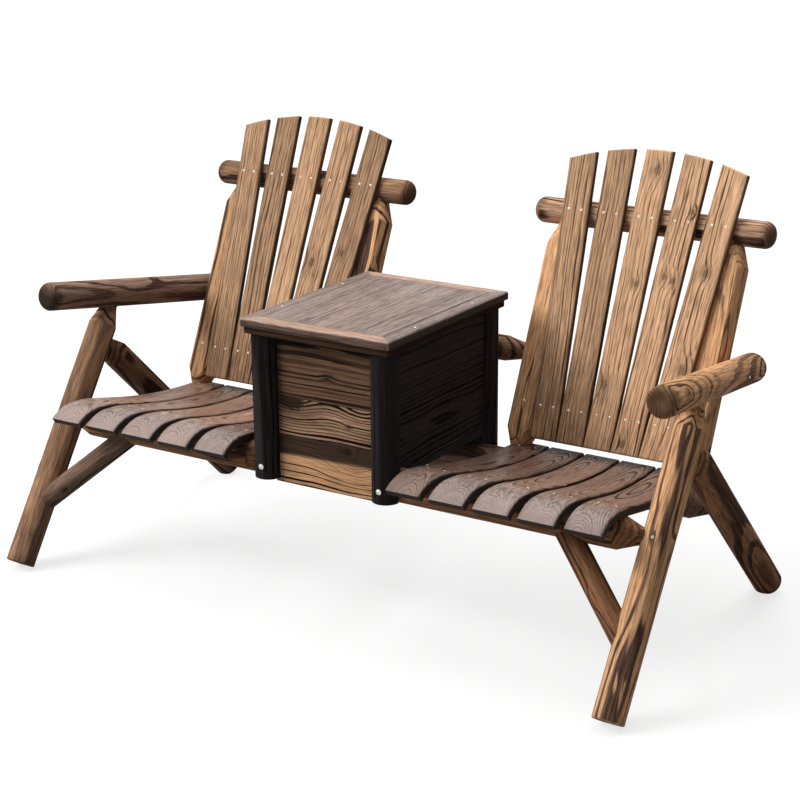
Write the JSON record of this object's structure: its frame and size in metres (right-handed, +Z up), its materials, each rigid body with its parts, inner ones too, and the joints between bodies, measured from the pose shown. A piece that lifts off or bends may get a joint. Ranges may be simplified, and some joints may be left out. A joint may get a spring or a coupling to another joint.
{
  "type": "double adirondack chair",
  "caption": "Double adirondack chair of round logs with fanned back and seat slats on shared rails, and a lidded ice box between the seats that serves as a table.",
  "frame": {"origin": "on the floor, in the middle of the bounding box", "axes": "+X to the right as seen from the front, +Y to the back, +Z up"},
  "size_m": [1.6642, 0.8741, 0.9935],
  "materials": {
    "logs": "charred and brushed, clear satin coat",
    "back_slats": "charred and brushed, clear satin coat",
    "seat_slats": "charred and brushed, clear satin coat",
    "box_posts": "deeply charred, clear satin coat",
    "box_front": "charred and brushed, clear satin coat",
    "box_boards": "deeply charred, clear satin coat",
    "lid": "charred and brushed, clear satin coat",
    "bucket": "brushed",
    "bolts": "bright zinc plate"
  },
  "bodies": {
    "bench": {"back_stretcher": "logs", "box_front_lower_board": "box_front", "box_front_middle_board": "box_front", "box_front_upper_board": "box_front", "box_rear_boards": "box_boards", "front_rail": "logs", "ice_bucket": "bucket", "left_armrest": "logs", "left_back_lower_bar": "logs", "left_back_slat_1": "back_slats", "left_back_slat_2": "back_slats", "left_back_slat_3": "back_slats", "left_back_slat_4": "back_slats", "left_back_slat_5": "back_slats", "left_back_top_bar": "logs", "left_box_side_boards": "box_boards", "left_bucket_cleat": "box_boards", "left_front_box_post": "box_posts", "left_front_leg": "logs", "left_inner_back_post": "logs", "left_leg_brace": "logs", "left_outer_back_post": "logs", "left_rear_box_post": "box_posts", "left_rear_leg": "logs", "left_seat_slat_1": "seat_slats", "left_seat_slat_2": "seat_slats", "left_seat_slat_3": "seat_slats", "left_seat_slat_4": "seat_slats", "left_seat_slat_5": "seat_slats", "post_bolts": "bolts", "rear_rail": "logs", "right_armrest": "logs", "right_back_lower_bar": "logs", "right_back_slat_1": "back_slats", "right_back_slat_2": "back_slats", "right_back_slat_3": "back_slats", "right_back_slat_4": "back_slats", "right_back_slat_5": "back_slats", "right_back_top_bar": "logs", "right_box_side_boards": "box_boards", "right_bucket_cleat": "box_boards", "right_front_box_post": "box_posts", "right_front_leg": "logs", "right_inner_back_post": "logs", "right_leg_brace": "logs", "right_outer_back_post": "logs", "right_rear_box_post": "box_posts", "right_rear_leg": "logs", "right_seat_slat_1": "seat_slats", "right_seat_slat_2": "seat_slats", "right_seat_slat_3": "seat_slats", "right_seat_slat_4": "seat_slats", "right_seat_slat_5": "seat_slats"},
    "lid": {"left_lid_side_strip": "lid", "lid_battens": "lid", "lid_front_strip": "lid", "lid_planks": "lid", "lid_rear_strip": "lid", "lid_subframe": "lid", "right_lid_side_strip": "lid"}
  },
  "joints": [
    {"name": "lid_lift", "type": "slide", "parent": "bench", "child": "lid", "axis": [0, 0, 1], "range_m": [0, 0.4]}
  ]
}
